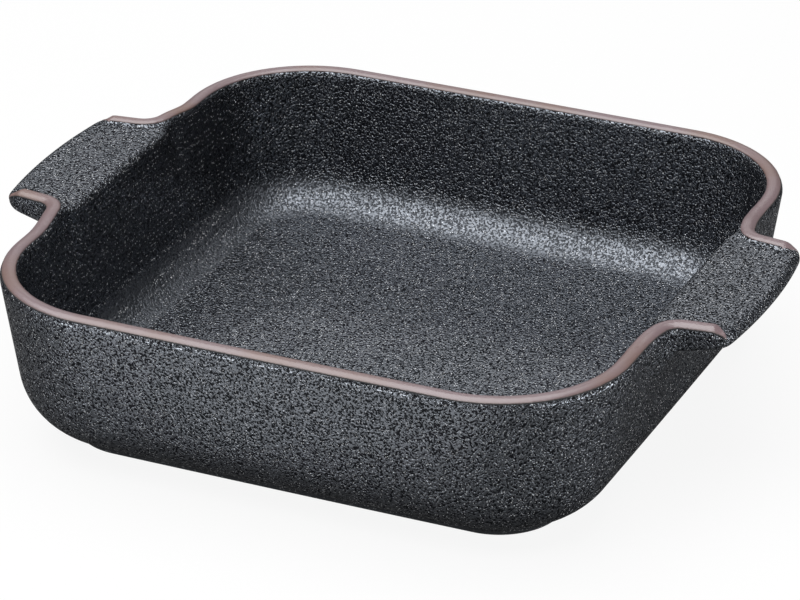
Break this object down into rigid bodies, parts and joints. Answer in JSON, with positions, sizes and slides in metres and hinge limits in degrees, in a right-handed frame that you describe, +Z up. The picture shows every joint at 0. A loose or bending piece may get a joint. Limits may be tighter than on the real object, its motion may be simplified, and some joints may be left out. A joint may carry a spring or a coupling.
{
  "type": "baking dish",
  "caption": "Square ovenproof stoneware baking dish with rounded corners, sloping walls, a coloured rim band, a raised foot and lug handles on two sides.",
  "frame": {"origin": "on the table plane, under the middle of the dish", "axes": "+Z up out of the dish, +X along the two handles toward the right handle, +Y from the front wall to the rear wall"},
  "size_m": [0.2994, 0.2488, 0.07],
  "materials": {
    "body_glaze": "satin, pebbled, finely speckled",
    "handle_glaze": "satin, pebbled, finely speckled",
    "rim_band_glaze": "smooth satin",
    "foot_glaze": "matt, dry"
  },
  "bodies": {
    "root": {"dish_body": "body_glaze", "left_handle": "handle_glaze", "right_handle": "handle_glaze", "front_rim_band": "rim_band_glaze", "rear_rim_band": "rim_band_glaze", "foot_ring": "foot_glaze"}
  },
  "joints": []
}
